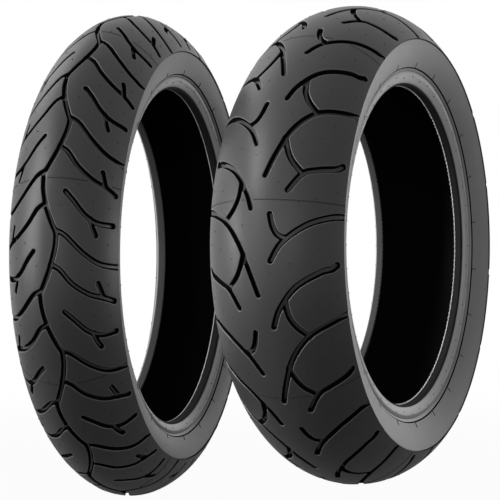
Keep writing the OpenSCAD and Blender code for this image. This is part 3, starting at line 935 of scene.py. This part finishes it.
# Bead seats and toe lips, shaded and lit copies of one rubber: the left seats dark as painted shade with a
# pale lip as a painted highlight, the right ones greyer as painted light with a dark lip
SHADED_AND_LIT_SEAT = {
    "left": rubber("seat_rubber", (0.012, 0.012, 0.012), rough=0.75, specular=0.06),
    "right": rubber("far_seat_rubber", (0.04, 0.04, 0.04), rough=0.7, specular=0.1),
}
SIDEWALL = toned(
    rubber("sidewall_rubber", (0.075, 0.075, 0.076), rough=0.48, specular=0.36, grain_scale=1100),
    SHADE_BLACK, (0.1, 0.1, 0.1),
)
# Chafer rubber with painted shade at the rim line and hollow, and a pale painted highlight towards the heel
CHAFER = toned(
    rubber("chafer_rubber", (0.1, 0.1, 0.101), rough=0.42, specular=0.5, grain_scale=1200, grain=0.15,
           mottle=0.08),
    SHADE_BLACK, (0.24, 0.24, 0.24),
)
# Near-black rubber for the raised mould lines, vents, ribs and stubs: painted shade that makes them read as
# dark lines and dots
MARK_SHADE = rubber("mark_rubber", (0.012, 0.012, 0.012), rough=0.6, specular=0.2)
TOE = {
    "left": rubber("toe_rubber", (0.4, 0.4, 0.395), rough=0.6, specular=0.3, grain=0.3, mottle=0.15),
    "right": rubber("far_toe_rubber", (0.02, 0.02, 0.02), rough=0.7, specular=0.1, grain=0.3, mottle=0.15),
}
LINER_RUBBER = rubber(
    "liner_rubber", (0.004, 0.004, 0.004), rough=0.75, specular=0.05, grain_scale=500, grain=0.3,
    mottle=0.2,
)
INNER_RUBBER = rubber(
    "inner_rubber", (0.02, 0.02, 0.02), rough=0.6, specular=0.3, grain_scale=700, grain=0.3, mottle=0.15,
)

for tyre in (FRONT, REAR):
    grid = tread_piece(tyre, TREAD, SHADE_RUBBER)
    mould_lines(tyre, grid, MARK_SHADE)
    tread_vents(tyre, grid, MARK_SHADE)
    for side in ("left", "right"):
        sidewall_piece(tyre, side, SIDEWALL, SHADE_RUBBER)
        chafer_piece(tyre, side, CHAFER, SHADED_AND_LIT_SEAT[side])
        toe_piece(tyre, side, TOE[side])
        side_ribs(tyre, side, MARK_SHADE)
        flange_vents(tyre, side, MARK_SHADE)
    liner_piece(tyre, LINER_RUBBER)
    belt_cord = corded(tyre, "_belt_cord", (0.45, 0.44, 0.42), 0.4, metallic=1.0, spacing=1.2, radial=False)
    ply_cord = corded(tyre, "_ply_cord", (0.3, 0.24, 0.16), 0.7, metallic=0.0, spacing=1.0, radial=True)
    bead_wire = corded(tyre, "_bead_wire", (0.5, 0.47, 0.42), 0.35, metallic=1.0, spacing=1.0, radial=False)
    inside = {"base": INNER_RUBBER, "belt": belt_cord, "carcass": ply_cord}
    for side in ("left", "right"):
        inside["filler_" + side] = INNER_RUBBER
        inside["bead_" + side] = bead_wire
    for part, material in inside.items():
        mesh = frame["nodes"][tyre.name + "_" + part].data
        mesh.materials.clear()
        mesh.materials.append(material)

# Camera fitted to both outlines: focal length and picture width in pixels and the sensor's width, then
# the azimuth in degrees and, in metres, the distance to the rear axle, the shift to the left, the height
FOCAL_PIXELS, PICTURE_PIXELS, SENSOR = 1660, 500, 36
VIEW_AZIMUTH, VIEW_DISTANCE, VIEW_SHIFT, VIEW_HEIGHT = 116.375, 2.0054, 0.1362, 0.2805
camera = bpy.data.cameras.new("camera")
camera.sensor_width = SENSOR
camera.lens = FOCAL_PIXELS / PICTURE_PIXELS * SENSOR
eye = bpy.data.objects.new("camera", camera)
bpy.context.scene.collection.objects.link(eye)
bearing = math.radians(VIEW_AZIMUTH)
back = Vector((math.sin(bearing), -math.cos(bearing), 0))
right = Vector((math.cos(bearing), math.sin(bearing), 0))
eye.location = REAR.place.translation + back * VIEW_DISTANCE - right * VIEW_SHIFT
eye.location.z = VIEW_HEIGHT
eye.rotation_mode = "QUATERNION"
eye.rotation_quaternion = (-back).to_track_quat("-Z", "Y")
bpy.context.scene.camera = eye
bpy.context.scene.view_settings.view_transform = "Standard"

# Middle of the pair, which the lamps are aimed at
MIDDLE = Vector((0, 0, 0.29))


def soft_box(name, azimuth, elevation, distance, size, power, only=None):
    """A soft box in watts aimed at the middle of the pair, from an azimuth and elevation in degrees.

    A box for only one tyre lights it as if it stood alone.
    """
    a, e = math.radians(azimuth), math.radians(elevation)
    away = Vector((math.sin(a) * math.cos(e), -math.cos(a) * math.cos(e), math.sin(e)))
    data = bpy.data.lights.new(name, "AREA")
    data.shape = "RECTANGLE"
    data.size, data.size_y = size
    data.energy = power
    lamp = bpy.data.objects.new(name, data)
    bpy.context.scene.collection.objects.link(lamp)
    lamp.location = MIDDLE + away * distance
    lamp.rotation_mode = "QUATERNION"
    lamp.rotation_quaternion = (-away).to_track_quat("-Z", "Y")
    if only:
        group = bpy.data.collections.new(name + "_group")
        for obj in PIECES[only]:
            group.objects.link(obj)
        lamp.light_linking.receiver_collection = group
        lamp.light_linking.blocker_collection = group


soft_box("front_box", 98, 3, 2.6, (2.0, 1.4), 13)
# For each tyre: azimuth, width and power of its left box, and power of its right box
for name, left, width, left_power, right_power in (("front", 44, 1.4, 72, 16), ("rear", 42, 1.2, 140, 8)):
    soft_box(name + "_left_box", left, 14, 2.3, (width, 2.1), left_power, name)
    soft_box(name + "_left_high_box", 350, 40, 2.3, (1.2, 1.2), 7, name)
    soft_box(name + "_right_box", 195, 2, 2.4, (0.9, 0.6), right_power, name)
soft_box("front_back_box", 256, 4, 2.4, (1.8, 1.6), 17, "front")
soft_box("rear_back_box", 254, 5, 2.4, (1.4, 1.5), 14, "rear")


def either(nodes, links, first, second):
    """The larger of two shares."""
    larger = nodes.new("ShaderNodeMath")
    larger.operation = "MAXIMUM"
    links.new(first, larger.inputs[0])
    links.new(second, larger.inputs[1])
    return larger.outputs[0]


def mix_to_white(nodes, links, plain, white, share, output):
    """Turns a plain surface white for a share of the rays."""
    mix = nodes.new("ShaderNodeMixShader")
    links.new(share, mix.inputs["Fac"])
    links.new(plain.outputs[0], mix.inputs[1])
    links.new(white.outputs[0], mix.inputs[2])
    links.new(mix.outputs[0], nodes[output].inputs["Surface"])


# Pale floor, just under the treads, that keeps a soft shadow and fades into the white surroundings
STAGE_SIZE, STAGE_DROP = 30, 0.0006
bpy.ops.mesh.primitive_plane_add(size=STAGE_SIZE, location=(0, 0, -STAGE_DROP))
floor = bpy.context.object
floor.name = "floor"
paint = bpy.data.materials.new("floor_white")
paint.use_nodes = True
nodes, links = paint.node_tree.nodes, paint.node_tree.links
plain = nodes["Principled BSDF"]
plain.inputs["Base Color"].default_value = (0.7, 0.7, 0.7, 1)
plain.inputs["Roughness"].default_value = 0.9
plain.inputs["Specular IOR Level"].default_value = 0.1
glow = nodes.new("ShaderNodeEmission")
glow.inputs["Strength"].default_value = 1
place = nodes.new("ShaderNodeTexCoord")
away = nodes.new("ShaderNodeVectorMath")
away.operation = "LENGTH"
links.new(place.outputs["Object"], away.inputs[0])
paths = nodes.new("ShaderNodeLightPath")


def faded(ray, near, start, end):
    """White for one kind of ray: a share near the object, and all of it from some way out."""
    fade = nodes.new("ShaderNodeMapRange")
    fade.interpolation_type = "SMOOTHSTEP"
    fade.inputs["From Min"].default_value = start
    fade.inputs["From Max"].default_value = end
    fade.inputs["To Min"].default_value = near
    fade.inputs["To Max"].default_value = 1
    links.new(away.outputs["Value"], fade.inputs["Value"])
    share = nodes.new("ShaderNodeMath")
    share.operation = "MULTIPLY"
    links.new(paths.outputs[ray], share.inputs[0])
    links.new(fade.outputs["Result"], share.inputs[1])
    return share.outputs[0]


seen_white = faded("Is Camera Ray", near=0.96, start=0.5, end=1.6)
mirrored_white = faded("Is Glossy Ray", near=0.2, start=0.4, end=1.8)
seen = either(nodes, links, seen_white, mirrored_white)
seen = either(nodes, links, seen, paths.outputs["Is Transmission Ray"])
mix_to_white(nodes, links, plain, glow, seen, "Material Output")
floor.data.materials.append(paint)

# White surroundings for the camera, plain soft light for the object
world = bpy.data.worlds.new("studio")
bpy.context.scene.world = world
world.use_nodes = True
nodes, links = world.node_tree.nodes, world.node_tree.links
soft = nodes["Background"]
soft.inputs["Color"].default_value = (1, 1, 1, 1)
soft.inputs["Strength"].default_value = 0.25
white = nodes.new("ShaderNodeBackground")
white.inputs["Color"].default_value = (1, 1, 1, 1)
white.inputs["Strength"].default_value = 1
paths = nodes.new("ShaderNodeLightPath")
seen = either(nodes, links, paths.outputs["Is Camera Ray"], paths.outputs["Is Glossy Ray"])
seen = either(nodes, links, seen, paths.outputs["Is Transmission Ray"])
mix_to_white(nodes, links, soft, white, seen, "World Output")
